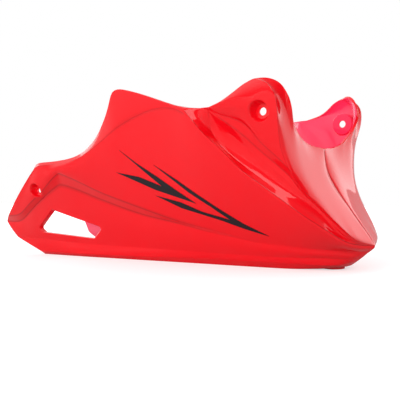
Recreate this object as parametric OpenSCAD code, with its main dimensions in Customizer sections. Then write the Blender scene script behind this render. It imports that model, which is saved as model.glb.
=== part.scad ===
// Belly pan for a small motorcycle: one moulding, open at the top and the rear.
// X runs from the tail to the nose, Y across, Z up; the pan stands on its flat bottom.

/* [Overall] */
// Length from the tail tips to the nose
pan_length = 535; // [400:1:700]
// Width across the flanks
pan_width = 242; // [200:1:320]
// Height from the flat bottom to the top of the ears
pan_height = 216; // [170:1:280]
// Wall thickness of the moulding
wall = 3; // [2:0.1:4]

/* [Flanks] */
// How far the vent panel is set back from the flank above it
frame_step = 6; // [2:0.5:8]
// How far the flank bulges between its top bevel and the vent panel
flank_crown = 2.5; // [0:0.5:5]
// How far the bulge below the vents stands out
sill_crown = 1.5; // [0:0.5:3]
// Radius of the corners of each vent
vent_round = 3; // [1:0.5:6]
// Depth of the collar inside each vent, wall included
vent_collar = 11; // [6:0.5:16]
// Thickness of the collar inside each vent
collar_wall = 2.2; // [1.5:0.1:3.5]

/* [Ears] */
// How far the top edge of each ear is bevelled off
ear_bevel = 3.5; // [0:0.5:5]
// How far the gutter below each ear sags
gutter_sag = 1.5; // [0:0.5:3]
// Diameter of the mounting hole in each ear
ear_hole_d = 9; // [5:0.1:12]
// Diameter of the cup round the ear hole, at the flank
ear_cup_d = 22; // [18:0.5:30]
// Diameter of the flat floor of the ear cup
ear_floor_d = 16; // [14:0.5:18]
// Depth of the ear cup
ear_cup_depth = 6; // [4:0.5:9]

/* [Tail mounts] */
// Diameter of the mounting hole in each tail
tail_hole_d = 7; // [5:0.1:9]
// Diameter of the cup round the tail hole, at the flank
tail_cup_d = 18; // [15:0.5:24]
// Diameter of the flat floor of the tail cup
tail_floor_d = 14; // [12:0.5:15]
// Depth of the tail cup
tail_cup_depth = 6; // [4:0.5:9]

/* [Drain] */
// Diameter of the drain foot under the nose
drain_d = 27; // [20:0.5:34]
// Diameter of the drain hole through the foot
drain_hole_d = 8; // [4:0.5:12]
// Height of the drain foot inside the pan
drain_height = 9; // [7:0.5:14]

/* [Stripes] */
// Thickness of the stripe film
film = 0.4; // [0.3:0.05:0.8]
// Gap between the film and the flank
film_gap = 0.1; // [0.05:0.05:0.2]

/* [Hidden] */
$fn = 48;

// The rails below are drawn on a pan of this size: tail at tail_x, nose at nose_x.
tail_x = -286;
nose_x = 249;
rail_width = 242;
rail_height = 216;
stretch = [pan_length / (nose_x - tail_x), pan_width / rail_width, pan_height / rail_height];
mid_x = (nose_x + tail_x) / 2;

// Each rail is a line over the right flank, as [x, half width, z]. It has four stretches: tail
// to the bend of the frame, bend to ear, ear to the foot of the ridge, ridge to the middle.
ear_corner = [95, 111, 184];
nose = [nose_x, 0, 29];

edge_rail = [
  [[-199, 105, 121], [-195, 105, 126], [-187, 105, 128], [-168, 104, 129], [-155, 103, 130]],
  [[-132, 102, 133], [-114, 102, 138], [-99, 103, 146], [-84, 105, 157], [-72, 107, 171],
   [-61, 109, 188], [-54, 111, 203], [-50, 112, 213], [-44, 112, 216], [-34, 113, 215],
   [0, 115, 206], [40, 118, 193], [68, 121, 183]],
  [[88, 115, 159], [110, 106, 137], [130, 97, 115], [151, 88, 98], [172, 80, 82]],
  [[192, 72, 66], [210, 60, 52], [224, 43, 39], [231, 32, 33], [239, 17, 30], nose]];
bevel_rail = [
  [[-201, 106, 117], [-196, 106, 122], [-187, 107, 124], [-170, 106, 125], [-154, 105, 126]],
  [[-134, 105, 128], [-111, 105, 134], [-77, 107, 150], [-51, 110, 164], [-26, 111, 175],
   [15, 115, 186], [45, 118, 187], [70, 120, 178]],
  [[90, 114, 155], [112, 105, 133], [132, 96, 111], [152, 87, 94], [173, 79, 78]],
  [[193, 70, 62], [211, 58, 48], [224, 42, 35], [231, 31, 30], [239, 16, 27], [248, 0, 26]]];
step_rail = [
  [[-274, 87, 54], [-250, 88, 56], [-220, 94, 73], [-195, 97, 87], [-171, 101, 104],
   [-155, 102, 113]],
  [[-146, 101, 111], [-121, 95, 101], [-91, 88, 88], [-32, 78, 69], [18, 70, 54],
   [60, 65, 45]],
  [[115, 58, 35], [170, 48, 27]],
  [[205, 34, 24], [230, 14, 22], [243, 0, 22]]];
frame_rail = [
  [[tail_x, 85, 46], [-256, 85, 47], [-229, 90, 62], [-204, 94, 77], [-177, 97, 92],
   [-163, 98, 98]],
  [[-152, 97, 97], [-129, 92, 90], [-98, 86, 79], [-38, 76, 61], [17, 70, 51], [59, 65, 42]],
  [[115, 57, 32], [170, 47, 24]],
  [[205, 33, 21], [228, 14, 19], [240, 0, 20]]];
sill_rail = [
  [[-268, 78, 23], [-215, 75, 22], [-165, 71, 19]],
  [[-70, 64, 17], [55, 55, 15]],
  [[110, 50, 14], [165, 43, 14]],
  [[203, 29, 14], [224, 13, 13], [234, 0, 15]]];
keel_rail = [
  [[-225, 70, 4], [-160, 68, 4]],
  [[-64, 61, 5], [50, 52, 7]],
  [[105, 48, 7], [160, 42, 7]],
  [[197, 30, 6], [210, 22, 6], [219, 12, 7], [226, 0, 9]]];
floor_rail = [
  [[-222, 64, 0], [-158, 62, 0]],
  [[-64, 55, 0], [50, 46, 0]],
  [[105, 42, 0], [158, 36, 0]],
  [[190, 25, 1], [204, 17, 2], [213, 9, 3], [220, 0, 5]]];
centre_rail = [
  [[-205, 0, 0], [-150, 0, 0]],
  [[45, 0, 0]],
  [[155, 0, 0]],
  [[190, 0, 1], [214, 0, 3]]];

// The rails of the ear fan out from its rear corner.
rim_rail = [
  [ear_corner], [],
  [[99, 113, 185], [119, 119, 191], [132, 119, 198], [143, 116, 206], [152, 115, 210],
   [161, 114, 212]],
  [[166, 108, 213], [172, 101, 213], [180, 95, 209], [185, 92, 202], [189, 90, 191],
   [190, 86, 181], [187, 77, 166], [185, 65, 157], [185, 54, 149], [184, 42, 145],
   [184, 27, 142], [186, 0, 140]]];
foot_rail = [
  [ear_corner], [],
  [[105, 109, 178], [138, 103, 166], [155, 95, 145], [184, 83, 115]],
  [[193, 73, 95], [210, 58, 73], [227, 45, 52], [238, 33, 38], [243, 20, 33], nose]];
fold_rail = [
  [ear_corner], [],
  [[103, 108, 177], [134, 98, 153], [152, 89, 135], [181, 76, 107]],
  [[191, 69, 91], [208, 55, 70], [225, 43, 50], [236, 32, 37], [242, 20, 32], nose]];
gutter_rail = [
  [ear_corner], [],
  [[100, 106, 174], [117, 97, 156], [139, 90, 136], [161, 83, 117], [180, 75, 99]],
  [[191, 68, 87], [207, 55, 67], [224, 42, 47], [234, 32, 36], [241, 20, 31.5], nose]];
lip_rail = [
  [ear_corner], [],
  [[95, 108, 175], [93, 102, 162], [95, 99, 154], [104, 95, 141], [126, 90, 122],
   [149, 85, 105], [171, 78, 89]],
  [[191, 70, 72], [209, 58, 56], [223, 41, 42], [232, 31, 35], [240, 19, 31], nose]];

// The front ridge from the top of the ear to its foot, and the crease down the middle
ridge = [[161, 114, 212], [173, 113, 207], [181, 112, 199], [184, 110, 189], [184, 107, 174],
  [182, 102, 161], [180, 95, 142], [181, 89, 128], [184, 83, 115]];
crease = [[186, 0, 140], [188, 0, 124], [190, 0, 115], [193, 0, 107], [200, 0, 95],
  [212, 0, 79], [231, 0, 54], [243, 0, 39], nose];

// Columns of the grid in the four stretches, and rows of the ear and the front face
columns = [10, 18, 14, 18];
col_ear = columns[0] + columns[1];
col_ridge = col_ear + columns[2];
col_mid = col_ridge + columns[3];
face_rows = 9;

// Which way the inside lies: [lift, pull to the rear, pull to the middle]
ear_lean = [15, 1, 1];
front_lean = [-45, 1, 0.2];

// The vent panel's rails are set back by a share of the step, which runs out towards the nose
step_fade = [[-40, 1], [150, 0]];
function set_back(rail, share) =
  [for (p = rail) [p[0], max(0, p[1] - share * frame_step * lookup(p[0], step_fade)), p[2]]];

keel_crown = 0.5;
// The strips below the face: [upper rail, lower rail, rows, crown, lean and set back at the lower
// rail]
strips = [
  [foot_rail, fold_rail, 1, 0, [-10, 1, 1], 0],
  [fold_rail, gutter_rail, 1, 0, [0, 1, 1], 0],
  [gutter_rail, lip_rail, 2, -gutter_sag, [10, 1, 1], 0],
  [lip_rail, edge_rail, 2, 0, [10, 1, 1], 0],
  [edge_rail, bevel_rail, 1, 0, [20, 1, 1], 0],
  [bevel_rail, step_rail, 5, flank_crown, [30, 1, 1], 0],
  [step_rail, frame_rail, 1, 0, [30, 1, 1], 1],
  [frame_rail, sill_rail, 2, sill_crown, [35, 0.8, 1], 0.7],
  [sill_rail, keel_rail, 2, keel_crown, [45, 0.6, 1], 0.3],
  [keel_rail, floor_rail, 1, 0, [60, 0.4, 0.6], 0],
  [floor_rail, centre_rail, 2, 0, [60, 0, 0], 0]];
row_lip = face_rows + 4;
row_edge = face_rows + 6;
row_frame = row_edge + 7;
row_sill = row_frame + 2;
row_centre = row_sill + 5;

// Sampling of the rails

function chords(p) =
  [for (k = 0, s = 0; k < len(p); s = s + (k + 1 < len(p) ? norm(p[k + 1] - p[k]) : 0), k = k + 1) s];

function slope(p, c, k) =
  let (a = max(k - 1, 0), b = min(k + 1, len(p) - 1)) (p[b] - p[a]) / (c[b] - c[a]);

function on_curve(p, c, s) =
  let (k = min(max(len([for (v = c) if (v <= s) v]) - 1, 0), len(p) - 2),
       h = c[k + 1] - c[k], t = (s - c[k]) / h)
  (2 * t * t * t - 3 * t * t + 1) * p[k] + (t * t * t - 2 * t * t + t) * h * slope(p, c, k)
  + (3 * t * t - 2 * t * t * t) * p[k + 1] + (t * t * t - t * t) * h * slope(p, c, k + 1);

function spread(rail) =
  let (p = concat(rail[0], rail[1], rail[2], rail[3]), c = chords(p),
       ends = [0, len(rail[0]) - 1, len(rail[0]) + len(rail[1]) - 1,
               len(rail[0]) + len(rail[1]) + len(rail[2]) - 1, len(p) - 1])
  [for (j = [0:3]) for (i = [0:columns[j] - (j < 3 ? 1 : 0)])
    let (from = c[ends[j]], to = c[ends[j + 1]])
    on_curve(p, c, from + (to - from) * i / columns[j])];

function even(p, n) = let (c = chords(p)) [for (i = [0:n]) on_curve(p, c, c[len(p) - 1] * i / n)];

// A patch between four curves
function coons(u, v, top, foot, left, right, corners) =
  (1 - v) * top + v * foot + (1 - u) * left + u * right
  - (1 - u) * (1 - v) * corners[0] - u * (1 - v) * corners[1]
  - (1 - u) * v * corners[2] - u * v * corners[3];

rim_points = spread(rim_rail);
foot_points = spread(foot_rail);
ridge_points = even(ridge, face_rows);
crease_points = even(crease, face_rows);

// Level sections of the front face run from the crease to the ridge, straight at the foot of
// the face and rounded towards the top of the ears.
function slice(list, from, to) = [for (k = [from:to]) list[k]];
function levels(curve, axis) =
  let (p = even(curve, 40)) [for (k = [len(p) - 1:-1:0]) [p[k][2], p[k][axis]]];
ridge_line = concat(ridge, slice(foot_rail[3], 0, 3));
ridge_x = levels(ridge_line, 0);
ridge_y = levels(ridge_line, 1);
crease_level = levels(crease, 0);
brow_lean = 0.15;
function crease_x(z) = lookup(z, crease_level) + max(0, z - crease[0][2]) * brow_lean;
function section_x(p) =
  let (x0 = crease_x(p[2]), x1 = lookup(p[2], ridge_x), y1 = lookup(p[2], ridge_y),
       power = lookup(p[2], [[110, 1], [150, 1.7], [180, 2.3]]))
  x0 + (x1 - x0) * pow(min(1, p[1] / y1), power);
function off_section(p) = p[0] - section_x(p);

// A row runs straight from ridge to crease, with the shapes of the rim and the foot fading in
function mix(a, b, t) = (1 - t) * a + t * b;
function front_point(u, v, i, r) =
  let (fade = (1 - v) * (1 - v), rise = v * v, ends = ridge_points[face_rows],
       p = mix(ridge_points[r], crease_points[r], u)
           + fade * (rim_points[i] - mix(ridge[0], crease[0], u))
           + rise * (foot_points[i] - mix(ends, nose, u)),
       off = (1 - u) * off_section(ridge_points[r])
             + fade * (off_section(rim_points[i]) - (1 - u) * off_section(ridge[0]))
             + rise * (off_section(foot_points[i]) - (1 - u) * off_section(ends)))
  [section_x(p) + off, p[1], p[2]];

function ear_point(u, v, i, r) =
  coons(u, v, rim_points[i], foot_points[i], ear_corner, ridge_points[r],
        [ear_corner, ridge[0], ear_corner, ridge_points[face_rows]]);

// The bevel along the top of the ear, which runs round the ridge and out on the front face
function top_bevel(i) =
  i <= col_ridge ? [i == col_ridge ? -ear_bevel : 0, -ear_bevel * min(1, (i - col_ear) / 4), 0]
  : [-ear_bevel * max(0, 1 - (i - col_ridge) / 6), 0, 0];

function face_point(i, r) =
  i < col_ear ? ear_corner
  : r == 0 ? rim_points[i] + top_bevel(i)
  : r == face_rows ? foot_points[i]
  : i == col_mid ? crease_points[r]
  : i <= col_ridge ? ear_point((i - col_ear) / columns[2], r / face_rows, i, r)
  : front_point((i - col_ridge) / columns[3], r / face_rows, i, r);

function bulge(p, amount) = [0, amount * min(1, p[1] / 15), 0];

face_grid = [for (r = [0:face_rows]) [for (i = [0:col_mid]) face_point(i, r)]];
strip_grid = [for (j = [0:len(strips) - 1])
  let (s = strips[j], a = set_back(spread(s[0]), j == 0 ? 0 : strips[j - 1][5]),
       b = set_back(spread(s[1]), s[5]))
  for (k = [1:s[2]])
  let (t = k / s[2])
  [for (i = [0:col_mid]) let (p = (1 - t) * a[i] + t * b[i]) p + bulge(p, 4 * t * (1 - t) * s[3])]];
rail_grid = concat(face_grid, strip_grid);

function place(p) = [(p[0] - mid_x) * stretch[0], -p[1] * stretch[1], max(0, p[2]) * stretch[2]];

grid = [for (row = rail_grid) [for (p = row) place(p)]];

// The inward direction at each point: towards the middle, the rear and up, as its row leans
function face_lean(i) =
  let (front = min(max((i - col_ridge + 2) / 4, 0), 1)) (1 - front) * ear_lean + front * front_lean;
strip_leans = [for (k = [0:len(strips) - 1]) let (s = strips[k]) for (j = [1:s[2]])
  let (t = j / s[2], above = k == 0 ? s[4] : strips[k - 1][4]) (1 - t) * above + t * s[4]];

function lean_at(i, r) = r <= face_rows ? face_lean(i) : strip_leans[r - face_rows - 1];

function lean(i, r) =
  let (p = grid[r][i], w = lean_at(i, r),
       d = [-w[1] * max(0, p[0] - turn_x), -w[2] * p[1], w[0]])
  d / norm(d);
turn_x = 0.24 * pan_length;

// The grid with its mirrored neighbours beyond the middle column
function grid_point(i, r) =
  i > col_mid ? let (p = grid[r][2 * col_mid - i]) [p[0], -p[1], p[2]] : grid[r][i];
function facing(i, r, di, dr) =
  i + di < 0 || r + dr < 0 || r + dr > row_centre ? [0, 0, 0]
  : let (p = grid[r][i], n = cross(grid_point(i + di, r) - p, grid[r + dr][i] - p) * di * dr)
    norm(n) < 0.3 ? [0, 0, 0] : n / norm(n);
function inward(i, r) =
  let (own = facing(i, r, 1, 1) + facing(i, r, -1, 1) + facing(i, r, 1, -1) + facing(i, r, -1, -1),
       near_nose = min(1, norm(grid[r][i] - place(nose)) / nose_blend),
       d = near_nose * own + 0.6 * lean(i, r))
  i == col_mid || r == row_centre ? [d[0], 0, d[2]] / norm([d[0], 0, d[2]]) : d / norm(d);
nose_blend = 40;

inner_way = [for (r = [0:row_centre]) [for (i = [0:col_mid]) inward(i, r)]];

// A point of the sheet at a depth below its face; columns past the middle are the left side
function sheet_point(i, r, depth) =
  let (k = min(i, 2 * col_mid - i), p = grid[r][k] + depth * inner_way[r][k])
  i > col_mid ? [p[0], -p[1], p[2]] : p;

// Grid corners that share one point share one number
function shared(i, r) =
  let (k = min(i, 2 * col_mid - i))
  r == row_centre && i > col_mid ? [2 * col_mid - i, r]
  : k < col_ear && r < row_edge ? [i, row_edge]
  : k == col_ear && r <= row_lip ? [i, 0]
  : k == col_mid && r >= face_rows && r < row_edge ? [i, row_edge]
  : [i, r];

function number(i, r, i0, r0, rows) =
  let (q = shared(i, r), a = [max(q[0], i0), max(q[1], r0)]) (a[0] - i0) * rows + a[1] - r0;

// Splits a four-sided face along its shorter diagonal
function triangles(q, p) =
  let (split = norm(p[q[0]] - p[q[2]]) <= 1.15 * norm(p[q[1]] - p[q[3]])
       ? [[q[0], q[1], q[2]], [q[0], q[2], q[3]]] : [[q[1], q[2], q[3]], [q[1], q[3], q[0]]])
  [for (t = split) if (t[0] != t[1] && t[1] != t[2] && t[2] != t[0]) t];

// A closed solid between two depths of the sheet, over columns i0 to i1 and rows r0 to r1
module sheet(i0, i1, r0, r1, outer, inner, closed_floor = false) {
  rows = r1 - r0 + 1;
  count = (i1 - i0 + 1) * rows;
  function n(i, r) = number(i, r, i0, r0, rows);
  points = [for (depth = [outer, inner]) for (i = [i0:i1]) for (r = [r0:r1])
    sheet_point(i, r, depth)];
  faces = concat(
    [for (i = [i0:i1 - 1]) for (r = [r0:r1 - 1]) [n(i, r), n(i + 1, r), n(i + 1, r + 1), n(i, r + 1)]],
    [for (i = [i0:i1 - 1]) for (r = [r0:r1 - 1])
      [count + n(i, r), count + n(i, r + 1), count + n(i + 1, r + 1), count + n(i + 1, r)]],
    [for (i = [i0:i1 - 1]) [n(i + 1, r0), n(i, r0), count + n(i, r0), count + n(i + 1, r0)]],
    closed_floor ? [] :
    [for (i = [i0:i1 - 1]) [n(i, r1), n(i + 1, r1), count + n(i + 1, r1), count + n(i, r1)]],
    [for (r = [r0:r1 - 1]) [n(i0, r), n(i0, r + 1), count + n(i0, r + 1), count + n(i0, r)]],
    [for (r = [r0:r1 - 1]) [n(i1, r + 1), n(i1, r), count + n(i1, r), count + n(i1, r + 1)]]);
  polyhedron(points, [for (f = faces) each triangles(f, points)]);
}

wall_inset = 1.1 * wall;
module shell() {
  sheet(0, 2 * col_mid, 0, row_centre, 0, wall_inset, closed_floor = true);
}

// Places of the mounts, the vents and the drain, on the same pan as the rails
ear_hole = [162, 107, 177];
tail_hole = [-203, 98, 91];
drain = [197, 0, 0];
vent_corners = [[-187, 64], [-105, 41], [-124, 26], [-214, 32], [-220, 38]];

module both_sides() {
  children();
  mirror([0, 1, 0]) children();
}

// Turns a shape drawn along +Z so that it runs along the right side's outward Y
module outward(p) {
  translate(place(p)) rotate([90, 0, 0]) children();
}

// A cup sunk into the flank, with its floor square to Y
module cup(p, mouth_d, floor_d, depth) {
  outward(p) translate([0, 0, -depth]) rotate_extrude()
    polygon([[0, 0], [floor_d / 2, 0], [mouth_d / 2, depth], [mouth_d / 2, 4 * depth],
             [0, 4 * depth]]);
}

// The pad behind a cup: a plug of thickened wall, cut flat behind the floor of the cup
module cup_pad(p, mouth_d, depth, i0, i1, r0, r1) {
  intersection() {
    sheet(i0, i1, r0, r1, 0.3 * wall, 3 * (depth + wall));
    outward(p) translate([0, 0, -depth - wall])
      cylinder(d = mouth_d + 2 * wall, h = 4 * (depth + wall));
  }
}

module mount_hole(p, d, depth) {
  outward(p) translate([0, 0, -3 * depth - 2 * wall]) cylinder(d = d, h = 6 * depth + 2 * wall);
}

module vent_outline(grow = 0) {
  offset(r = vent_round + grow) offset(delta = -vent_round)
    polygon([for (c = vent_corners) [(c[0] - mid_x) * stretch[0], c[1] * stretch[2]]]);
}

module vent_prism(grow = 0) {
  translate([0, -0.2 * pan_width, 0]) rotate([90, 0, 0])
    linear_extrude(height = 0.3 * pan_width) vent_outline(grow);
}

module vent_ring() {
  intersection() {
    sheet(0, columns[0] + 6, row_frame, row_sill + 1, 0.3 * wall, vent_collar);
    difference() {
      vent_prism(collar_wall);
      vent_prism();
    }
  }
}

module drain_foot() {
  translate([place(drain)[0], 0, 0]) cylinder(d = drain_d, h = drain_height);
}

module belly_pan() {
  color("#e0141c") difference() {
    union() {
      shell();
      both_sides() {
        cup_pad(ear_hole, ear_cup_d, ear_cup_depth, col_ear + 5, col_ridge, 0, face_rows);
        cup_pad(tail_hole, tail_cup_d, tail_cup_depth, 0, 8, row_edge, row_frame);
        vent_ring();
      }
      drain_foot();
    }
    both_sides() {
      cup(ear_hole, ear_cup_d, ear_floor_d, ear_cup_depth);
      cup(tail_hole, tail_cup_d, tail_floor_d, tail_cup_depth);
      mount_hole(ear_hole, ear_hole_d, ear_cup_depth);
      mount_hole(tail_hole, tail_hole_d, tail_cup_depth);
      vent_prism();
    }
    translate([place(drain)[0], 0, -1]) cylinder(d = drain_hole_d, h = drain_height + 2);
  }
}

// Outlines of the two stripes, as [x, z] on the same pan as the rails
upper_stripe = [[-43, 140], [-22, 124], [6, 107], [30, 91], [55, 76], [28, 84], [0, 92],
  [-54, 113], [-22, 107], [12, 95], [-12, 115]];
lower_stripe = [[6, 121], [35, 103], [61, 86], [88, 69], [116, 52], [144, 39], [116, 47], [88, 56],
  [61, 63], [33, 70], [-1, 84], [33, 76], [62, 65], [101, 56], [78, 72], [50, 89]];

module stripe(outline) {
  color("#101014") intersection() {
    sheet(columns[0] + 4, col_ridge + 4, row_edge + 1, row_frame, -film_gap - film, -film_gap);
    translate([0, -0.1 * pan_width, 0]) rotate([90, 0, 0]) linear_extrude(height = 0.5 * pan_width)
      polygon([for (c = outline) [(c[0] - mid_x) * stretch[0], c[1] * stretch[2]]]);
  }
}

module upper_stripe_right() {
  stripe(upper_stripe);
}

module lower_stripe_right() {
  stripe(lower_stripe);
}

module upper_stripe_left() {
  mirror([0, 1, 0]) stripe(upper_stripe);
}

module lower_stripe_left() {
  mirror([0, 1, 0]) stripe(lower_stripe);
}

belly_pan();
upper_stripe_right();
lower_stripe_right();
upper_stripe_left();
lower_stripe_left();
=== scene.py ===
import math
from contextlib import contextmanager

import bmesh
import bpy
from bpy.props import FloatProperty, FloatVectorProperty, PointerProperty
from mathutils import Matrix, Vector
from mathutils.bvhtree import BVHTree


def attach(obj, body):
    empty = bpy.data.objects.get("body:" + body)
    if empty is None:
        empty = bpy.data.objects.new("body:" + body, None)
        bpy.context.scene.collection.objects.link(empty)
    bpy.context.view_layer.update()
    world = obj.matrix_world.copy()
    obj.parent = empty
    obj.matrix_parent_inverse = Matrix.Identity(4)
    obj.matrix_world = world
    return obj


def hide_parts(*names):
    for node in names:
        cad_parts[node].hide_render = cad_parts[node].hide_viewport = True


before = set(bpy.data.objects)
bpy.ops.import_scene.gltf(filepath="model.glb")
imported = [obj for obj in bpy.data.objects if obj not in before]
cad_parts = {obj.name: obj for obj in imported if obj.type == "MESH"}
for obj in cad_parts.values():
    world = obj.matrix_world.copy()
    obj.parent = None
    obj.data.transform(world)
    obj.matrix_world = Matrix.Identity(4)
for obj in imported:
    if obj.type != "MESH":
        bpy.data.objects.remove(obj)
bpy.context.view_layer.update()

bl_info = {
    "name": "Motorcycle belly pan",
    "version": (1, 0, 0),
    "blender": (4, 5, 0),
    "location": "View3D > Sidebar > Belly Pan",
    "description": "Dresses a moulded belly pan with its painted shell, stripes and studio",
    "category": "Object",
}

MM = 0.001

# The pan's rails over its right side, as (along, half width, height) in millimetres. Each has four
# stretches: tail to the bend of the frame, bend to ear, ear to the foot of the ridge, ridge to
# the middle. The pan's middle lies 18.5 mm behind the rails' own origin.
MIDDLE = -18.5
EAR_CORNER = (95, 111, 184)
NOSE = (249, 0, 29)
EDGE = [
    [(-199, 105, 121), (-195, 105, 126), (-187, 105, 128), (-168, 104, 129), (-155, 103, 130)],
    [(-132, 102, 133), (-114, 102, 138), (-99, 103, 146), (-84, 105, 157), (-72, 107, 171),
     (-61, 109, 188), (-54, 111, 203), (-50, 112, 213), (-44, 112, 216), (-34, 113, 215),
     (0, 115, 206), (40, 118, 193), (68, 121, 183)],
    [(88, 115, 159), (110, 106, 137), (130, 97, 115), (151, 88, 98), (172, 80, 82)],
    [(192, 72, 66), (210, 60, 52), (224, 43, 39), (231, 32, 33), (239, 17, 30), NOSE]]
BEVEL = [
    [(-201, 106, 117), (-196, 106, 122), (-187, 107, 124), (-170, 106, 125), (-154, 105, 126)],
    [(-134, 105, 128), (-111, 105, 134), (-77, 107, 150), (-51, 110, 164), (-26, 111, 175),
     (15, 115, 186), (45, 118, 187), (70, 120, 178)],
    [(90, 114, 155), (112, 105, 133), (132, 96, 111), (152, 87, 94), (173, 79, 78)],
    [(193, 70, 62), (211, 58, 48), (224, 42, 35), (231, 31, 30), (239, 16, 27), (248, 0, 26)]]
STEP = [
    [(-274, 87, 54), (-250, 88, 56), (-220, 94, 73), (-195, 97, 87), (-171, 101, 104),
     (-155, 102, 113)],
    [(-146, 101, 111), (-121, 95, 101), (-91, 88, 88), (-32, 78, 69), (18, 70, 54), (60, 65, 45)],
    [(115, 58, 35), (170, 48, 27)],
    [(205, 34, 24), (230, 14, 22), (243, 0, 22)]]
FRAME = [
    [(-286, 85, 46), (-256, 85, 47), (-229, 90, 62), (-204, 94, 77), (-177, 97, 92),
     (-163, 98, 98)],
    [(-152, 97, 97), (-129, 92, 90), (-98, 86, 79), (-38, 76, 61), (17, 70, 51), (59, 65, 42)],
    [(115, 57, 32), (170, 47, 24)],
    [(205, 33, 21), (228, 14, 19), (240, 0, 20)]]
SILL = [
    [(-268, 78, 23), (-215, 75, 22), (-165, 71, 19)], [(-70, 64, 17), (55, 55, 15)],
    [(110, 50, 14), (165, 43, 14)], [(203, 29, 14), (224, 13, 13), (234, 0, 15)]]
KEEL = [
    [(-225, 70, 4), (-160, 68, 4)], [(-64, 61, 5), (50, 52, 7)],
    [(105, 48, 7), (160, 42, 7)], [(197, 30, 6), (210, 22, 6), (219, 12, 7), (226, 0, 9)]]
FLOOR = [
    [(-222, 64, 0), (-158, 62, 0)], [(-64, 55, 0), (50, 46, 0)],
    [(105, 42, 0), (158, 36, 0)], [(190, 25, 1), (204, 17, 2), (213, 9, 3), (220, 0, 5)]]
CENTRE = [
    [(-205, 0, 0), (-150, 0, 0)], [(45, 0, 0)], [(155, 0, 0)], [(190, 0, 1), (214, 0, 3)]]
RIM = [
    [EAR_CORNER], [],
    [(99, 113, 185), (119, 119, 191), (132, 119, 198), (143, 116, 206), (152, 115, 210),
     (161, 114, 212)],
    [(166, 108, 213), (172, 101, 213), (180, 95, 209), (185, 92, 202), (189, 90, 191),
     (190, 86, 181), (187, 77, 166), (185, 65, 157), (185, 54, 149), (184, 42, 145),
     (184, 27, 142), (186, 0, 140)]]
FOOT = [
    [EAR_CORNER], [],
    [(105, 109, 178), (138, 103, 166), (155, 95, 145), (184, 83, 115)],
    [(193, 73, 95), (210, 58, 73), (227, 45, 52), (238, 33, 38), (243, 20, 33), NOSE]]
FOLD = [
    [EAR_CORNER], [],
    [(103, 108, 177), (134, 98, 153), (152, 89, 135), (181, 76, 107)],
    [(191, 69, 91), (208, 55, 70), (225, 43, 50), (236, 32, 37), (242, 20, 32), NOSE]]
GUTTER = [
    [EAR_CORNER], [],
    [(100, 106, 174), (117, 97, 156), (139, 90, 136), (161, 83, 117), (180, 75, 99)],
    [(191, 68, 87), (207, 55, 67), (224, 42, 47), (234, 32, 36), (241, 20, 31.5), NOSE]]
LIP = [
    [EAR_CORNER], [],
    [(95, 108, 175), (93, 102, 162), (95, 99, 154), (104, 95, 141), (126, 90, 122),
     (149, 85, 105), (171, 78, 89)],
    [(191, 70, 72), (209, 58, 56), (223, 41, 42), (232, 31, 35), (240, 19, 31), NOSE]]
RIDGE = [(161, 114, 212), (173, 113, 207), (181, 112, 199), (184, 110, 189), (184, 107, 174),
         (182, 102, 161), (180, 95, 142), (181, 89, 128), (184, 83, 115)]
CREASE = [(186, 0, 140), (188, 0, 124), (190, 0, 115), (193, 0, 107), (200, 0, 95),
          (212, 0, 79), (231, 0, 54), (243, 0, 39), NOSE]

# Places on the right side, in millimetres: the middles of the holes as (along, half width, height),
# the drain's place along, and the corners of the vent and of the stripes as (along, height)
EAR_HOLE = (162, 107, 177)
TAIL_HOLE = (-203, 98, 91)
DRAIN_AT = 197
VENT = [(-187, 64), (-105, 41), (-124, 26), (-214, 32), (-220, 38)]
UPPER_STRIPE = [(-43, 140), (-22, 124), (6, 107), (30, 91), (55, 76), (28, 84), (0, 92),
                (-54, 113), (-22, 107), (12, 95), (-12, 115)]
LOWER_STRIPE = [(6, 121), (35, 103), (61, 86), (88, 69), (116, 52), (144, 39), (116, 47), (88, 56),
                (61, 63), (33, 70), (-1, 84), (33, 76), (62, 65), (101, 56), (78, 72), (50, 89)]

# The shape between the rails, in millimetres: how deep the middle crease is and how far it leans
# on above its top, how level sections bend by height, and where the crown and the step run out
CREASE_DEPTH = 1.6
CREASE_LEAN = 0.15
SECTION_POWER = [(110, 1), (150, 1.7), (180, 2.3)]
CROWN_FADE = 15
STEP_FADE = [(-40, 1), (150, 0)]

# The thin lines of painted shade along the creases and edges: how dark each is as a share, where
# the panel's lines run out, and how many columns beside the ear's corner have none
PAINTED_SHADE_LINES = {"crease": 1.0, "edge": 0.9, "panel": 0.8, "bevel": 0.6, "ridge": 0.5}
LINE_FADE = [(0, 1), (90, 0)]
LINE_CLEAR = 3

# The ears' bevel as (share, amount): how it leans back and aside along the ear and along the front
# face, and how it runs out down the rows
EAR_BACK, EAR_ASIDE = [(0.85, 0), (1, 1)], [(0, 0), (0.28, 1)]
FACE_BACK, FACE_ASIDE = [(0, 1), (0.33, 0)], [(0, 1), (0.1, 0)]
BEVEL_DOWN = [(0, 1), (0.11, 0)]

# The sheet: passes that smooth the front face, the normals and the inner face, the largest share of
# a strip that an edge's rounding takes, the distance that merges its points, the rounding of its
# rim as a reach and as shares of the wall, and the height under which the inside lies on the floor
FACE_PASSES, NORMAL_PASSES, INNER_PASSES = 24, 10, 8
HOLD_MOST = 0.3
SHEET_MERGE = 2e-5
RIM_REACH, RIM_SHARES = 0.0006, (0.2, 0.8)
INNER_LOW = 0.0005
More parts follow.
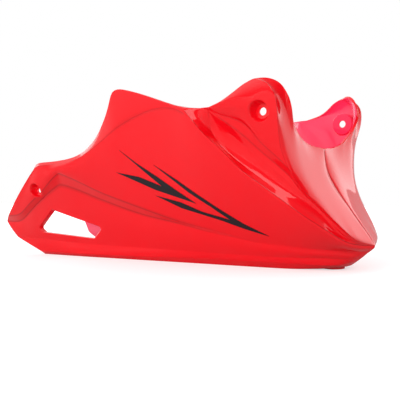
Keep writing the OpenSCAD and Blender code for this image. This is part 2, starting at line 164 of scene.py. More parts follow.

# Details in metres. A cup has a place, a mouth, a floor, a depth and a hole, and takes the inside's
# bare colour with painted light from a little past its floor; cuts run between two places across
# the pan or, for the drain, in height; the drain's foot is (radius, height)
CUPS = {"ear_cup": (EAR_HOLE, 0.022, 0.016, 0.006, 0.009),
        "tail_cup": (TAIL_HOLE, 0.018, 0.014, 0.006, 0.007)}
CUP_WALL, CUP_CUT, CONE_SHARES = 0.003, (-0.2, -0.06), (0.35, 0.7, 0.93)
CUP_BARE = 0.002
LIP_REACH = 0.0011
VENT_RADIUS, VENT_CUT, COLLAR_WALL, COLLAR_DEPTH = 0.003, (-0.15, -0.03), 0.0022, 0.008
DRAIN_CUT, DRAIN_CUT_RADIUS = (-0.01, 0.02), 0.0128
DRAIN_PROFILE = [(0.0135, 0.0085), (0.0135, 0.0008), (0.0131, 0.0002), (0.0125, 0.0),
                 (0.0048, 0.0), (0.0042, 0.0002), (0.004, 0.0008), (0.004, 0.0084),
                 (0.0046, 0.009), (0.0128, 0.009)]
RING_CORNERS, ARC_STEPS, OUTLINE_STEP = 48, 6, 0.004
BESIDE = -0.3
SAME_PLACE = 1e-6

# The stripes: how far they are grown, in millimetres, and at most how many times that at a point,
# their gap to the flank, and the planes that cut them into cells, so that they can bend with it
STRIPE_GROWTH, POINT_GROWTH = 0.6, 2.5
STRIPE_GAP = 0.0001
CELL = 0.004
CELL_PLANES = ([((-0.05 + CELL * k, 0, 0), (1, 0, 0)) for k in range(57)]
               + [((0, 0, CELL * k), (0, 0, 1)) for k in range(8, 38)])

# The studio. A lamp has a share of the key's power, a size, a place and a point that it aims at.
# The room's brightness: at the tail's side, behind the pan, above, in the corner that the near
# flank mirrors, and all round; then the height where it starts above, and how fast it rises
LAMPS = {"key_lamp": (1.0, (2.6, 1.0), (0.4, -2.1, 0.5), (0, 0, 0.1)),
         "front_lamp": (0.75, (1.4, 1.0), (0.75, -1.8, 0.9), (0, 0, 0.1)),
         "tail_lamp": (0.6, (1.2, 1.0), (-1.7, -0.15, 0.4), (-0.1, 0, 0.1)),
         "nose_lamp": (1.2, (3.0, 1.6), (1.6, 1.45, 0.6), (0.15, 0, 0.1))}
ROOM_TAIL, ROOM_FAR, ROOM_ABOVE, ROOM_CORNER, ROOM_ROUND = 0.9, 0.8, 0.9, 4.0, 0.12
ABOVE_FROM, ABOVE_RISE, CORNER_RISE = 0.4, 1.6, 3.0
FLOOR_SIZE, FLOOR_COLOUR, FLOOR_ROUGHNESS = 6, (0.55, 0.55, 0.555, 1), 0.7
GLOW_FROM, GLOW_RISE, GLOW_LEAST = 0.5, 0.3, 0.55
WHITE = (1, 1, 1, 1)
CAMERA_AT, CAMERA_WAY = (0.6045, -0.7998, 0.0926), (-0.588, 0.809, 0)
LENS, SENSOR, SHIFT_Y = 67.5, 36, -0.0275


class ShellSizes(bpy.types.PropertyGroup):
    wall: FloatProperty(name="Wall", description="Thickness of the moulding",
                        default=0.0033, unit="LENGTH")
    edge: FloatProperty(name="Edge", description="How far the rounding of a moulded edge reaches",
                        default=0.001, unit="LENGTH")
    crown: FloatProperty(name="Crown", description="How far the flank bulges",
                         default=0.0025, unit="LENGTH")
    step: FloatProperty(name="Step", description="How far the vent panel is set back",
                        default=0.006, unit="LENGTH")
    ear_bevel: FloatProperty(name="Ear bevel", description="How far the ears' top edge is bevelled",
                             default=0.0035, unit="LENGTH")
    film: FloatProperty(name="Film", description="Thickness of a stripe",
                        default=0.0004, unit="LENGTH")


class PaintColours(bpy.types.PropertyGroup):
    paint: FloatVectorProperty(name="Paint", description="Colour of the red paint",
                               subtype="COLOR", size=3, default=(0.90, 0.003, 0.010))
    deep: FloatVectorProperty(name="Deep paint", description="Colour of the thickest paint",
                              subtype="COLOR", size=3, default=(0.84, 0.002, 0.008))
    # Painted shade: the dark red of the thin lines along the creases and edges
    crease: FloatVectorProperty(name="Crease", description="Colour of the paint in a crease",
                                subtype="COLOR", size=3, default=(0.42, 0.001, 0.004))
    # The inside's bare colour, made pinker with painted light that shines through the moulding
    inside: FloatVectorProperty(name="Inside", description="Colour of the moulding's bare inside",
                                subtype="COLOR", size=3, default=(0.92, 0.030, 0.105))
    stripe: FloatVectorProperty(name="Stripe", description="Colour of the stripe film",
                                subtype="COLOR", size=3, default=(0.006, 0.005, 0.007))


class StudioSizes(bpy.types.PropertyGroup):
    key: FloatProperty(name="Key", description="Power of the large soft lamp", default=18.5,
                       unit="POWER")
    world: FloatProperty(name="World", description="Strength of the white room", default=0.7)


# Rails

def point(p):
    """A rail's (along, half width, height) in the shared frame, on the right side."""
    return Vector(((p[0] - MIDDLE) * MM, -p[1] * MM, max(0.0, p[2]) * MM))


def chords(points):
    """The length run at each point, from the first one on."""
    out = [0.0]
    for a, b in zip(points, points[1:]):
        out.append(out[-1] + (b - a).length)
    return out


def on_curve(points, c, s):
    """The smooth curve through the points, whose chords are c, at the length s."""
    k = min(max(sum(1 for v in c if v <= s) - 1, 0), len(points) - 2)

    def slope(j):
        a, b = max(j - 1, 0), min(j + 1, len(points) - 1)
        return (points[b] - points[a]) / (c[b] - c[a])
    h = c[k + 1] - c[k]
    t = (s - c[k]) / h
    return ((2 * t ** 3 - 3 * t ** 2 + 1) * points[k] + (t ** 3 - 2 * t ** 2 + t) * h * slope(k)
            + (3 * t ** 2 - 2 * t ** 3) * points[k + 1] + (t ** 3 - t ** 2) * h * slope(k + 1))


def even(curve, fractions):
    """Points at fractions of a curve's length."""
    points = [Vector(p) for p in curve]
    c = chords(points)
    return [on_curve(points, c, c[-1] * f) for f in fractions]


def steps(count, near=0.0, near_end=0.0):
    """Fractions from 0 to 1 in equal steps, with an extra one close to either end."""
    out = [k / count for k in range(count + 1)]
    if near:
        out.insert(1, near)
    if near_end:
        out.insert(len(out) - 1, 1 - near_end)
    return out


# How the sheet's columns divide the four stretches, and its rows the front face. The close steps
# at the ends keep the bend at the frame, the ear's corner, the ridge and the crease crisp
COLUMNS = [steps(13, 0.012, 0.02)[:-1], steps(26, 0.01, 0.01)[:-1],
           steps(18, 0.018, 0.006)[:-1], steps(24, 0.005, 0.005)]
COL_EAR = len(COLUMNS[0]) + len(COLUMNS[1])
COL_RIDGE = COL_EAR + len(COLUMNS[2])
COL_MID = COL_RIDGE + len(COLUMNS[3]) - 1
FACE_ROWS = steps(11, 0.02, 0.02)
ROW_FOOT = len(FACE_ROWS) - 1


def spread(rail):
    """A rail's points at all the columns."""
    points = [Vector(p) for stretch in rail for p in stretch]
    c = chords(points)
    ends, k = [0], -1
    for stretch in rail:
        k += len(stretch)
        ends.append(k)
    out = []
    for j, fractions in enumerate(COLUMNS):
        a, b = c[ends[j]], c[ends[j + 1]]
        out += [on_curve(points, c, a + (b - a) * f) for f in fractions]
    return out


def lookup(x, table):
    """Straight lines between the (x, y) pairs of a table, level past its ends."""
    if x <= table[0][0]:
        return table[0][1]
    for (x0, y0), (x1, y1) in zip(table, table[1:]):
        if x <= x1:
            return y0 + (y1 - y0) * (x - x0) / max(x1 - x0, 1e-9)
    return table[-1][1]


def levels(curve, axis):
    """A curve as a table from height to one of its other two measures."""
    return sorted((p[2], p[axis]) for p in even(curve, steps(60)))


RIDGE_LINE = RIDGE + FOOT[3][:4]
RIDGE_X, RIDGE_Y = levels(RIDGE_LINE, 0), levels(RIDGE_LINE, 1)
CREASE_X = levels(CREASE, 0)


def section_x(p):
    """The level sections of the front face run from the crease to the ridge."""
    x0 = lookup(p[2], CREASE_X) + max(0, p[2] - CREASE[0][2]) * CREASE_LEAN
    x1, y1 = lookup(p[2], RIDGE_X), lookup(p[2], RIDGE_Y)
    return x0 + (x1 - x0) * min(1, max(0, p[1]) / y1) ** lookup(p[2], SECTION_POWER)


def ear_share(i):
    """How far a column lies along the ear, from its corner to the ridge."""
    return COLUMNS[2][i - COL_EAR] if i < COL_RIDGE else 1.0


def top_bevel(i, v, bevel):
    """The bevel along the top of the ear, which runs round the ridge and out on the front face."""
    if i <= COL_RIDGE:
        back, aside = lookup(ear_share(i), EAR_BACK), lookup(ear_share(i), EAR_ASIDE)
    else:
        u = COLUMNS[3][i - COL_RIDGE]
        back, aside = lookup(u, FACE_BACK), lookup(u, FACE_ASIDE)
    return Vector((-back, -aside, 0)) * bevel * lookup(v, BEVEL_DOWN)


def face_rows(bevel):
    """The ear and the front face, from the rim down to their foot."""
    rim, foot = spread(RIM), spread(FOOT)
    ridge, crease = even(RIDGE, FACE_ROWS), even(CREASE, FACE_ROWS)
    ear, nose = Vector(EAR_CORNER), Vector(NOSE)

    def off(p):
        return p[0] - section_x(p)
    rows = []
    for r, v in enumerate(FACE_ROWS):
        row = []
        for i in range(COL_MID + 1):
            if i <= COL_EAR:
                p = ear
            elif r == 0:
                p = rim[i]
            elif r == ROW_FOOT:
                p = foot[i]
            elif i <= COL_RIDGE:
                # A patch between the rim, the foot, the ear's corner and the ridge
                u = ear_share(i)
                p = ((1 - v) * rim[i] + v * foot[i] + (1 - u) * ear + u * ridge[r]
                     - (1 - u) * ear - u * (1 - v) * ridge[0] - u * v * ridge[-1])
            else:
                u = COLUMNS[3][i - COL_RIDGE]
                fade, rise = (1 - v) ** 2, v ** 2
                p = (ridge[r].lerp(crease[r], u)
                     + fade * (rim[i] - ridge[0].lerp(crease[0], u))
                     + rise * (foot[i] - ridge[-1].lerp(nose, u)))
                shift = ((1 - u) * off(ridge[r]) + fade * (off(rim[i]) - (1 - u) * off(ridge[0]))
                         + rise * (off(foot[i]) - (1 - u) * off(ridge[-1])))
                p = Vector((section_x(p) + shift, p[1], p[2]))
                if i == COL_MID:
                    p[0] -= CREASE_DEPTH
            row.append(p + top_bevel(i, v, bevel) if i > COL_EAR else p)
        rows.append(row)
    return relaxed(rows)


def relaxed(rows):
    """Takes the ripples out of the front face, inside its ridge, its crease, its rim and foot."""
    for _ in range(FACE_PASSES):
        old = [[p.copy() for p in row] for row in rows]
        for r in range(2, ROW_FOOT - 1):
            for i in range(COL_RIDGE + 2, COL_MID - 1):
                around = old[r - 1][i] + old[r + 1][i] + old[r][i - 1] + old[r][i + 1]
                rows[r][i] = old[r][i].lerp(around / 4, 0.5)
    return rows


# The strips below the face: name of the lower rail, upper rail, lower rail, rows, bulge in
# millimetres, or None for the flank's crown, and set back of the lower rail as a share of the step
STRIPS = [("fold", FOOT, FOLD, 1, 0, 0), ("gutter", FOLD, GUTTER, 1, 0, 0),
          ("lip", GUTTER, LIP, 3, -1.5, 0), ("edge", LIP, EDGE, 3, 0, 0),
          ("bevel", EDGE, BEVEL, 1, 0, 0), ("step", BEVEL, STEP, 7, None, 0),
          ("frame", STEP, FRAME, 1, 0, 1), ("sill", FRAME, SILL, 3, 1.5, 0.7),
          ("keel", SILL, KEEL, 2, 0.5, 0.3), ("floor", KEEL, FLOOR, 1, 0, 0),
          ("centre", FLOOR, CENTRE, 3, 0, 0)]


def set_back(rail, depth):
    """The vent panel's rails lie behind the flank; the step runs out towards the nose."""
    return [Vector((p[0], max(0, p[1] - depth * lookup(p[0], STEP_FADE)), p[2])) for p in rail]


def sheet_rows(edge, crown, step, bevel):
    """All the rows of the right half, and which of them lies on each rail. Beside each rail there
    is a close row, which rounds its edge."""
    rows = face_rows(bevel)
    rail_row, depth = {}, 0
    for name, upper, lower, count, bulge, back in STRIPS:
        a, b = set_back(spread(upper), depth), set_back(spread(lower), back * step)
        depth = back * step
        bulge = crown if bulge is None else bulge
        strip = [[] for _ in range(count + 2)]
        for p, q in zip(a, b):
            hold = min(edge / max((q - p).length, 1e-6), HOLD_MOST)
            shares = [hold] + [k / count for k in range(1, count)] + [1 - hold, 1]
            for row, t in zip(strip, shares):
                s = p.lerp(q, t)
                s[1] += 4 * t * (1 - t) * bulge * min(1, s[1] / CROWN_FADE)
                row.append(s)
        rows += strip
        rail_row[name] = len(rows) - 1
    # Behind the ear there is nothing above the edge, so those rows are folded into it
    for r in range(rail_row["edge"]):
        for i in range(COL_EAR):
            rows[r][i] = rows[rail_row["edge"]][i].copy()
        if r <= rail_row["lip"]:
            rows[r][COL_EAR] = Vector(EAR_CORNER)
        if r >= ROW_FOOT:
            rows[r][COL_MID] = Vector(NOSE)
    return rows, rail_row


def painted_shade_weight(r, i, x, rail_row):
    """How much painted shade darkens the paint: thin dark lines along the moulding's creases and
    edges.
    """
    if i == COL_MID and 0 < r < ROW_FOOT:
        return PAINTED_SHADE_LINES["crease"]
    if r == rail_row["edge"] and i > COL_EAR:
        return PAINTED_SHADE_LINES["edge"]
    if r == rail_row["bevel"] and i < COL_EAR:
        return PAINTED_SHADE_LINES["bevel"]
    if r in (rail_row["step"], rail_row["frame"]):
        return PAINTED_SHADE_LINES["panel"] * lookup(x, LINE_FADE)
    on_foot = r in (ROW_FOOT, rail_row["fold"]) and i > COL_EAR + LINE_CLEAR
    return PAINTED_SHADE_LINES["ridge"] if on_foot or (i == COL_RIDGE and r < ROW_FOOT) else 0.0


# Modelling helpers

def deselect():
    if bpy.context.object and bpy.context.object.mode != "OBJECT":
        bpy.ops.object.mode_set(mode="OBJECT")
    bpy.ops.object.select_all(action="DESELECT")


def pick(obj):
    deselect()
    obj.select_set(True)
    bpy.context.view_layer.objects.active = obj


@contextmanager
def editing(obj):
    """Edit mode on one piece, with all of it selected."""
    pick(obj)
    bpy.ops.object.mode_set(mode="EDIT")
    bpy.ops.mesh.select_all(action="SELECT")
    yield
    bpy.ops.object.mode_set(mode="OBJECT")


def named(name):
    """Names the piece that was just made."""
    obj = bpy.context.object
    obj.name = name
    obj.data.name = name
    return obj


def finished(obj, angle=32):
    """Puts the piece's place into its mesh and shades it."""
    pick(obj)
    bpy.ops.object.transform_apply(location=True, rotation=True, scale=True)
    bpy.ops.object.shade_smooth_by_angle(angle=math.radians(angle))
    return obj


def apply(obj, kind, **settings):
    """Adds a modifier with its settings and applies it."""
    pick(obj)
    modifier = obj.modifiers.new(kind.title(), kind)
    for key, value in settings.items():
        setattr(modifier, key, value)
    bpy.ops.object.modifier_apply(modifier=modifier.name)


def join(obj, others):
    pick(obj)
    for other in others:
        other.select_set(True)
    bpy.ops.object.join()
    return obj


def mirrored(obj, name):
    """A copy on the other side of the pan, with its own mesh."""
    pick(obj)
    bpy.ops.object.duplicate()
    copy = named(name)
    copy.scale = (1, -1, 1)
    bpy.ops.object.transform_apply(location=False, rotation=False, scale=True)
    with editing(copy):
        bpy.ops.mesh.flip_normals()
    return copy


def surface_of(obj):
    """A tree that finds where a line across the pan meets a piece."""
    mesh = bmesh.new()
    mesh.from_mesh(obj.data)
    tree = BVHTree.FromBMesh(mesh)
    mesh.free()
    return tree


def flank_y(tree, x, z):
    """The right flank's outer surface at a place along the pan and a height."""
    return tree.ray_cast(Vector((x, BESIDE, z)), Vector((0, 1, 0)))[0].y


def anticlockwise(corners):
    """The corners of an outline as (x, z), turned round if they run clockwise."""
    area = sum(a[0] * b[1] - b[0] * a[1] for a, b in zip(corners, corners[1:] + corners[:1]))
    return corners if area > 0 else corners[::-1]


def vent_outline(grow):
    """The vent's outline with rounded corners, as (x, z) in metres."""
    base = [Vector(((x - MIDDLE) * MM, z * MM)) for x, z in anticlockwise(VENT)]
    out = []
    for k, p in enumerate(base):
        a, b = base[k - 1], base[(k + 1) % len(base)]
        u, w = (p - a).normalized(), (b - p).normalized()
        nu, nw = Vector((u.y, -u.x)), Vector((w.y, -w.x))
        half = (nu + nw).normalized()
        centre = p - half * (VENT_RADIUS / half.dot(nu))
        start = math.atan2(nu.y, nu.x)
        turn = (math.atan2(nw.y, nw.x) - start) % (2 * math.pi)
        for j in range(ARC_STEPS + 1):
            angle = start + turn * j / ARC_STEPS
            reach = Vector((math.cos(angle), math.sin(angle))) * (VENT_RADIUS + grow)
            out.append(centre + reach)
    full = []
    for p, q in zip(out, out[1:] + out[:1]):
        pieces = max(1, round((q - p).length / OUTLINE_STEP))
        full += [p.lerp(q, j / pieces) for j in range(pieces)]
    return full


def grown(corners, amount):
    """An outline moved outwards, with its long points kept."""
    out = []
    for k, p in enumerate(corners):
        a, b = Vector(corners[k - 1]), Vector(corners[(k + 1) % len(corners)])
        u, w = (Vector(p) - a).normalized(), (b - Vector(p)).normalized()
        half = Vector((u.y + w.y, -u.x - w.x))
        # At a needle's point the sides run opposite ways, and it grows along the first one
        half = half.normalized() if half.length > 0.05 else u
        share = min(POINT_GROWTH, 1 / max(0.3, half.dot(Vector((u.y, -u.x)))))
        out.append(tuple(Vector(p) + half * amount * share))
    return out


def ring_strip(name, rings):
    """A strip of faces through rings of points, made on a grid and closed into a band."""
    count = len(rings[0])
    deselect()
    bpy.ops.mesh.primitive_grid_add(x_subdivisions=count, y_subdivisions=len(rings) - 1, size=1)
    obj = named(name)
    for r, ring in enumerate(rings):
        for k in range(count + 1):
            obj.data.vertices[r * (count + 1) + k].co = ring[k % count]
    with editing(obj):
        bpy.ops.mesh.remove_doubles(threshold=SAME_PLACE)
    return obj


def ring_corners():
    """The cosine and the sine of each corner of a ring."""
    turn = 2 * math.pi
    return [(math.cos(turn * k / RING_CORNERS), math.sin(turn * k / RING_CORNERS))
            for k in range(RING_CORNERS)]


def circle(at, radius, y):
    """A ring round a hole in the flank."""
    x, z = (at[0] - MIDDLE) * MM, at[2] * MM
    return [Vector((x + radius * c, y, z + radius * s)) for c, s in ring_corners()]


def level_circle(radius, z):
    """A level ring round the drain."""
    x = (DRAIN_AT - MIDDLE) * MM
    return [Vector((x + radius * c, radius * s, z)) for c, s in ring_corners()]


# Materials

class Node:
    """Wraps a socket, so that shader maths reads as Python."""
    tree = None

    def __init__(self, socket):
        self.socket = socket

    @classmethod
    def make(cls, kind, settings=None, out=0, **inputs):
        """One output of a new node. Its inputs go by name, or by number as i0 and i1."""
        node = cls.tree.nodes.new(kind)
        for key, value in (settings or {}).items():
            setattr(node, key, value)
        for key, value in inputs.items():
            feed(node, int(key[1:]) if key in ("i0", "i1") else key, value)
        return cls(node.outputs[out])

    @classmethod
    def maths(cls, operation, a, b, clamp=False):
        return cls.make("ShaderNodeMath", {"operation": operation, "use_clamp": clamp}, i0=a, i1=b)

    def parts(self):
        """The three parts of a vector."""
        node = self.tree.nodes.new("ShaderNodeSeparateXYZ")
        feed(node, 0, self)
        return [Node(output) for output in node.outputs]

    def clamped(self, factor):
        """The value times a factor, kept between 0 and 1."""
        return Node.maths("MULTIPLY", self, factor, clamp=True)

    def __add__(self, other):
        return Node.maths("ADD", self, other)

    def __sub__(self, other):
        return Node.maths("SUBTRACT", self, other)

    def __mul__(self, other):
        return Node.maths("MULTIPLY", self, other)


def feed(node, socket, value):
    """Links a socket, or sets it where the value is constant."""
    if isinstance(value, Node):
        Node.tree.links.new(value.socket, node.inputs[socket])
    else:
        node.inputs[socket].default_value = value


def mix_colour(factor, a, b):
    """A mix of two colours, each a node's output or (red, green, blue)."""
    node = Node.tree.nodes.new("ShaderNodeMix")
    node.data_type = "RGBA"
    feed(node, 0, factor)
    for socket, colour in ((6, a), (7, b)):
        feed(node, socket, colour if isinstance(colour, Node) else (*colour, 1))
    return Node(node.outputs[2])


def new_material(name):
    material = bpy.data.materials.new(name)
    material.use_nodes = True
    Node.tree = material.node_tree
    return material, material.node_tree.nodes["Principled BSDF"]


def noise(scale, detail, roughness):
    """Noise over the piece's own coordinates."""
    place = Node.make("ShaderNodeTexCoord", out=3)
    return Node.make("ShaderNodeTexNoise", Vector=place, Scale=scale, Detail=detail,
                     Roughness=roughness)


def mark(name):
    """A mark that the mesh carries on its points."""
    return Node.make("ShaderNodeAttribute", {"attribute_name": name}, out=2)


def paint_material(colours):
    """Red paint under clear lacquer: a faint orange peel, uneven thickness, painted shade in thin
    lines along the creases and edges, and the inside's bare colour made pinker with painted light
    through the moulding."""
    material, shader = new_material("red_gloss_paint")
    broad, peel, ripple = noise(9.0, 2.0, 0.5), noise(420.0, 2.0, 0.55), noise(26.0, 1.0, 0.4)
    paint = mix_colour(broad, colours.paint, colours.deep)
    # Painted shade: the paint darkens in thin lines along the creases and edges
    paint = mix_colour(mark("painted_shade_line"), paint, colours.crease)
    # The inside's bare colour, made pinker with painted light shining through the moulding
    feed(shader, "Base Color", mix_colour(mark("inside"), paint, colours.inside))
    feed(shader, "Roughness", broad * 0.05 + 0.20)
    feed(shader, "Normal", Node.make("ShaderNodeBump", Strength=0.05, Distance=0.0004,
                                     Height=peel * 0.3 + ripple))
    feed(shader, "Coat Weight", 1.0)
    feed(shader, "Coat Roughness", 0.035)
    feed(shader, "Coat IOR", 1.42)
    feed(shader, "Specular IOR Level", 0.05)
    return material


def film_material(colours):
    """Dark film with a dull shine and fine grain."""
    material, shader = new_material("stripe_film")
    grain = noise(300.0, 2.0, 0.5)
    feed(shader, "Base Color", mix_colour(grain, colours.stripe, [1.6 * c for c in colours.stripe]))
    feed(shader, "Roughness", grain * 0.08 + 0.28)
    feed(shader, "Coat Weight", 0.4)
    feed(shader, "Coat Roughness", 0.08)
    feed(shader, "Specular IOR Level", 0.2)
    return material


def dress(obj, material):
    obj.data.materials.clear()
    obj.data.materials.append(material)


# The pan

def outer_sheet(sizes):
    """The pan's outer face as one grid, both sides, merged where the rows meet."""
    rows, rail_row = sheet_rows(sizes.edge / MM, sizes.crown / MM, sizes.step / MM,
                                sizes.ear_bevel / MM)
    across = 2 * COL_MID
    bpy.ops.mesh.primitive_grid_add(x_subdivisions=across, y_subdivisions=len(rows) - 1, size=1)
    obj = named("pan_shell")
    mesh = obj.data
    # How dark the painted shade along the creases and edges is at each point
    line = []
    for r, row in enumerate(rows):
        for i in range(across + 1):
            right = min(i, across - i)
            p = point(row[right])
            if i > COL_MID:
                p.y = -p.y
            mesh.vertices[r * (across + 1) + i].co = p
            line.append(painted_shade_weight(r, right, row[right][0], rail_row))
    mesh.attributes.new("painted_shade_line", "FLOAT", "POINT").data.foreach_set("value", line)
    with editing(obj):
        bpy.ops.mesh.remove_doubles(threshold=SHEET_MERGE)
        bpy.ops.mesh.normals_make_consistent(inside=False)
    # The lowest face near the middle tells whether the sheet faces out
    low = min(mesh.polygons, key=lambda f: f.center.z + abs(f.center.x) * 0.2)
    if low.normal.z > 0:
        with editing(obj):
            bpy.ops.mesh.flip_normals()
    return obj


def thicken(obj, wall):
    """Gives the sheet its wall: an inner face along smoothed normals, bridged at the open edges."""
    mesh = bmesh.new()
    mesh.from_mesh(obj.data)
    mesh.verts.ensure_lookup_table()
    inside = mesh.verts.layers.float.new("inside")
    way = [v.normal.copy() for v in mesh.verts]
    for _ in range(NORMAL_PASSES):
        way = [(way[v.index] + sum((way[e.other_vert(v).index] for e in v.link_edges), Vector())
                ).normalized() for v in mesh.verts]
    rim = [e for e in mesh.edges if e.is_boundary]
    corners = [(loop.vert, loop.link_loop_next.vert) for e in rim for loop in e.link_loops]
    # A dictionary and not a set, since it keeps the same order in each run
    edge = dict.fromkeys(v for e in rim for v in e.verts)
    beyond = {}
    for v in edge:
        inland = [e.other_vert(v).co for e in v.link_edges if not e.is_boundary]
        if inland:
            beyond[v] = (v.co - sum(inland, Vector()) / len(inland)).normalized()
    near = [[e.other_vert(v).index for e in v.link_edges if v not in edge or e.is_boundary]
            for v in mesh.verts]
    place = [v.co - way[v.index] * wall for v in mesh.verts]
    for _ in range(INNER_PASSES):
        place = [p.lerp(sum((place[k] for k in near[n]), Vector()) / len(near[n]), 0.5)
                 for n, p in enumerate(place)]
    inner = [mesh.verts.new(p) for p in place]
    for face in list(mesh.faces):
        mesh.faces.new([inner[v.index] for v in reversed(face.verts)])
    ring = {}
    for v in edge:
        within, reach = inner[v.index], beyond.get(v, Vector()) * RIM_REACH
        ring[v] = [v] + [mesh.verts.new(v.co.lerp(within.co, share) + reach)
                         for share in RIM_SHARES] + [within]
    for a, b in corners:
        for k in range(len(RIM_SHARES) + 1):
            mesh.faces.new([ring[b][k], ring[a][k], ring[a][k + 1], ring[b][k + 1]])
    # Marks the inner face for its bare colour, made pinker with painted light through the moulding
    for v in inner:
        v[inside] = 1.0
        if v.co.z < INNER_LOW:
            v.co.z = wall
    mesh.to_mesh(obj.data)
    mesh.free()


def cutter(name, ring_near, ring_far):
    """A closed prism between two rings."""
    obj = ring_strip(name, [ring_near, ring_far])
    with editing(obj):
        bpy.ops.mesh.fill_holes(sides=0)
        bpy.ops.mesh.normals_make_consistent(inside=False)
    return obj


def cut_away(obj, tool):
    apply(obj, "BOOLEAN", operation="DIFFERENCE", object=tool, solver="MANIFOLD")
    bpy.data.objects.remove(tool, do_unlink=True)


def cut_both_sides(obj, ring_near, ring_far):
    """Cuts a prism out of the right flank and out of the left one."""
    tool = cutter("cut", ring_near, ring_far)
    for piece in (tool, mirrored(tool, "cut_left")):
        cut_away(obj, piece)


def face_out(obj):
    with editing(obj):
        bpy.ops.mesh.remove_doubles(threshold=SAME_PLACE)
        bpy.ops.mesh.normals_make_consistent(inside=False)
    return obj


def cup_piece(name, tree, at, mouth, floor, depth, hole):
    """A sunk cup: a rounded lip on the flank, a cone, a flat floor and its drilled hole."""
    def on_flank(radius, under):
        return [Vector((p.x, flank_y(tree, p.x, p.z) + under, p.z)) for p in circle(at, radius, 0)]
    wide, narrow, drill = mouth / 2, floor / 2, hole / 2
    bottom = depth - at[1] * MM
    back = bottom + CUP_WALL
    lip = [on_flank(wide + LIP_REACH, 0),
           on_flank(wide + 0.45 * LIP_REACH, 0.25 * LIP_REACH),
           on_flank(wide - 0.05 * LIP_REACH, 0.9 * LIP_REACH)]
    cone = [[Vector((p.x, top.y + (bottom - top.y) * share, p.z))
             for p, top in zip(circle(at, wide + (narrow - wide) * share, 0), lip[-1])]
            for share in CONE_SHARES]
    # From the cone's foot over the floor, through the hole and round the back, edges rounded
    profile = [(narrow - 0.0003, bottom), (drill + 0.0005, bottom), (drill, bottom + 0.0005),
               (drill, back - 0.0004), (drill + 0.0005, back), (wide + CUP_WALL - 0.001, back),
               (wide + CUP_WALL, back - 0.001)]
    return face_out(ring_strip(name, lip + cone + [circle(at, radius, y) for radius, y in profile]
                               + [on_flank(wide + CUP_WALL, 0.6 * CUP_WALL)]))


def vent_piece(name, tree):
    """The vent's collar: a rounded lip on the flank and a thin wall that runs inwards."""
    # How far outside the vent's outline and how far under the flank each ring lies
    profile = [(LIP_REACH, 0), (0.0005, 0.0002), (0.00012, 0.0006), (0, 0.0012),
               (0, 0.5 * COLLAR_DEPTH), (0, COLLAR_DEPTH - 0.0006), (0.0006, COLLAR_DEPTH),
               (COLLAR_WALL - 0.0006, COLLAR_DEPTH), (COLLAR_WALL, COLLAR_DEPTH - 0.0006),
               (COLLAR_WALL, 0.0018)]
    return face_out(ring_strip(name, [[Vector((p.x, flank_y(tree, p.x, p.y) + under, p.y))
                                       for p in vent_outline(grow)] for grow, under in profile]))


def drain_piece(name):
    """The round foot under the nose, with its hole."""
    closed = DRAIN_PROFILE + DRAIN_PROFILE[:1]
    return face_out(ring_strip(name, [level_circle(radius, z) for radius, z in closed]))


def mark_inside(obj, depth):
    """Marks the part of a piece that lies inside the pan, for its bare colour made pinker with
    painted light shining through the moulding.
    """
    marks = obj.data.attributes.new("inside", "FLOAT", "POINT")
    for v, value in zip(obj.data.vertices, marks.data):
        value.value = 1.0 if v.co.y > depth else 0.0


def stripe_piece(name, tree, corners, thickness):
    """A stripe of film: its outline filled, cut into small cells and laid on the flank."""
    outline = grown(anticlockwise(corners), STRIPE_GROWTH)
    deselect()
    bpy.ops.mesh.primitive_circle_add(vertices=len(outline), radius=1, fill_type="NGON")
    film = named(name)
    for v, (x, z) in zip(film.data.vertices, outline):
        v.co = ((x - MIDDLE) * MM, 0, z * MM)
    with editing(film):
        for place, normal in CELL_PLANES:
            bpy.ops.mesh.select_all(action="SELECT")
            bpy.ops.mesh.bisect(plane_co=place, plane_no=normal)
        bpy.ops.mesh.select_all(action="SELECT")
        bpy.ops.mesh.quads_convert_to_tris()
    for v in film.data.vertices:
        v.co.y = flank_y(tree, v.co.x, v.co.z) - STRIPE_GAP
    if film.data.polygons[0].normal.y > 0:
        with editing(film):
            bpy.ops.mesh.flip_normals()
    apply(film, "SOLIDIFY", thickness=thickness, offset=1)
    return finished(film, 40)


class OBJECT_OT_pan_shell(bpy.types.Operator):
    """Models the moulded shell from its rails, with its cups, vents and drain foot"""
    bl_idname = "object.pan_shell"
    bl_label = "Pan Shell"

    def execute(self, context):
        sizes = context.scene.pan_shell_sizes
        deselect()
        pan = outer_sheet(sizes)
        apply(pan, "SUBSURF", levels=1, render_levels=1, boundary_smooth="PRESERVE_CORNERS")
        tree = surface_of(pan)
        thicken(pan, sizes.wall)
        extras = []
        for name, (at, mouth, floor, depth, hole) in CUPS.items():
            cut_both_sides(pan, *(circle(at, mouth / 2 + LIP_REACH, y) for y in CUP_CUT))
            cup = cup_piece(name, tree, at, mouth, floor, depth, hole)
            mark_inside(cup, depth - at[1] * MM + CUP_BARE)
            extras += [cup, mirrored(cup, name + "_left")]
        ring = vent_outline(LIP_REACH)
        cut_both_sides(pan, *([Vector((p.x, y, p.y)) for p in ring] for y in VENT_CUT))
        collar = vent_piece("vent_collar", tree)
        extras += [collar, mirrored(collar, "vent_collar_left")]
        cut_away(pan, cutter("cut", *(level_circle(DRAIN_CUT_RADIUS, z) for z in DRAIN_CUT)))
        extras.append(drain_piece("drain_foot"))
        pan = finished(join(pan, extras))
        dress(pan, paint_material(context.scene.pan_paint))
        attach(pan, "root")
        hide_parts("belly_pan")
        return {"FINISHED"}


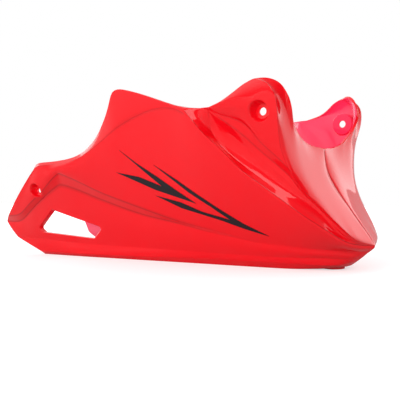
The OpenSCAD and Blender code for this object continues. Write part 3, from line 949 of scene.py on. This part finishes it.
class OBJECT_OT_pan_stripes(bpy.types.Operator):
    """Lays the four arrow stripes on the flanks as thin film"""
    bl_idname = "object.pan_stripes"
    bl_label = "Pan Stripes"

    def execute(self, context):
        sizes = context.scene.pan_shell_sizes
        material = film_material(context.scene.pan_paint)
        tree = surface_of(bpy.data.objects["pan_shell"])
        for corners, name in ((UPPER_STRIPE, "upper_stripe"), (LOWER_STRIPE, "lower_stripe")):
            film = stripe_piece(name + "_film_right", tree, corners, sizes.film)
            dress(film, material)
            left = mirrored(film, name + "_film_left")
            for piece, side in ((film, "right"), (left, "left")):
                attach(piece, "root")
                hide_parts(name + "_" + side)
        return {"FINISHED"}


# The studio

def pale_floor():
    """The floor. To the camera it glows a little, so that it ends up white like the background."""
    deselect()
    bpy.ops.mesh.primitive_plane_add(size=FLOOR_SIZE, location=(0, 0, 0))
    floor = named("floor")
    material, shader = new_material("pale_floor")
    place = Node.make("ShaderNodeTexCoord", out=3)
    away = Node.make("ShaderNodeVectorMath", {"operation": "LENGTH"}, out=1, i0=place)
    glow = (away - GLOW_FROM).clamped(GLOW_RISE) + GLOW_LEAST
    seen = Node.make("ShaderNodeLightPath")
    feed(shader, "Base Color", FLOOR_COLOUR)
    feed(shader, "Roughness", FLOOR_ROUGHNESS)
    feed(shader, "Emission Color", WHITE)
    feed(shader, "Emission Strength", seen * glow)
    dress(floor, material)


def white_room(strength):
    """White to the camera. As light, and in the lacquer, it is bright on some sides only."""
    world = bpy.data.worlds.new("white_room")
    bpy.context.scene.world = world
    world.use_nodes = True
    Node.tree = world.node_tree
    seen = Node.make("ShaderNodeLightPath")
    towards_x, towards_y, up = Node.make("ShaderNodeTexCoord").parts()
    tail_side, near_side = towards_x.clamped(-1.0), towards_y.clamped(-1.0)
    far_side, above = towards_y.clamped(1.0), (up - ABOVE_FROM).clamped(ABOVE_RISE)
    corner = tail_side * near_side * up.clamped(CORNER_RISE)
    room = (tail_side * ROOM_TAIL + far_side * ROOM_FAR + above * ROOM_ABOVE
            + corner * ROOM_CORNER + ROOM_ROUND) * strength
    back = world.node_tree.nodes["Background"]
    feed(back, "Color", WHITE)
    feed(back, "Strength", Node.maths("MAXIMUM", seen, room))


def aimed(obj, way):
    """Turns a lamp or the camera to look along a direction."""
    obj.rotation_euler = Vector(way).to_track_quat("-Z", "Y").to_euler()
    return obj


def add_lamp(name, power, size, place, aim):
    bpy.ops.object.light_add(type="AREA", location=place)
    lamp = aimed(bpy.context.object, Vector(aim) - Vector(place))
    lamp.name = name
    lamp.data.shape = "RECTANGLE"
    lamp.data.size, lamp.data.size_y = size
    lamp.data.energy = power
    # The key lamp would show as a white patch in the lacquer
    lamp.visible_glossy = name != "key_lamp"


def add_camera(scene):
    bpy.ops.object.camera_add(location=CAMERA_AT)
    camera = aimed(bpy.context.object, CAMERA_WAY)
    camera.data.lens, camera.data.sensor_width, camera.data.shift_y = LENS, SENSOR, SHIFT_Y
    scene.camera = camera


class OBJECT_OT_pan_studio(bpy.types.Operator):
    """Sets up the pale floor, the soft lamps, the white room and the camera"""
    bl_idname = "object.pan_studio"
    bl_label = "Pan Studio"

    def execute(self, context):
        studio = context.scene.pan_studio
        pale_floor()
        white_room(studio.world)
        for name, (share, size, place, aim) in LAMPS.items():
            add_lamp(name, studio.key * share, size, place, aim)
        add_camera(context.scene)
        context.scene.view_settings.view_transform = "Standard"
        return {"FINISHED"}


class VIEW3D_PT_belly_pan(bpy.types.Panel):
    bl_label = "Belly Pan"
    bl_idname = "VIEW3D_PT_belly_pan"
    bl_space_type = "VIEW_3D"
    bl_region_type = "UI"
    bl_category = "Belly Pan"

    def draw(self, context):
        scene = context.scene
        for group in (scene.pan_shell_sizes, scene.pan_paint, scene.pan_studio):
            box = self.layout.box()
            for key in group.__annotations__:
                box.prop(group, key)
        for kind in OPERATORS:
            self.layout.operator(kind.bl_idname)


OPERATORS = (OBJECT_OT_pan_shell, OBJECT_OT_pan_stripes, OBJECT_OT_pan_studio)
CLASSES = (ShellSizes, PaintColours, StudioSizes, *OPERATORS, VIEW3D_PT_belly_pan)


def register():
    for kind in CLASSES:
        bpy.utils.register_class(kind)
    bpy.types.Scene.pan_shell_sizes = PointerProperty(type=ShellSizes)
    bpy.types.Scene.pan_paint = PointerProperty(type=PaintColours)
    bpy.types.Scene.pan_studio = PointerProperty(type=StudioSizes)


def unregister():
    del bpy.types.Scene.pan_studio, bpy.types.Scene.pan_paint, bpy.types.Scene.pan_shell_sizes
    for kind in reversed(CLASSES):
        bpy.utils.unregister_class(kind)


def main():
    register()
    bpy.ops.object.pan_studio()
    bpy.ops.object.pan_shell()
    bpy.ops.object.pan_stripes()


if __name__ == "__main__":
    main()
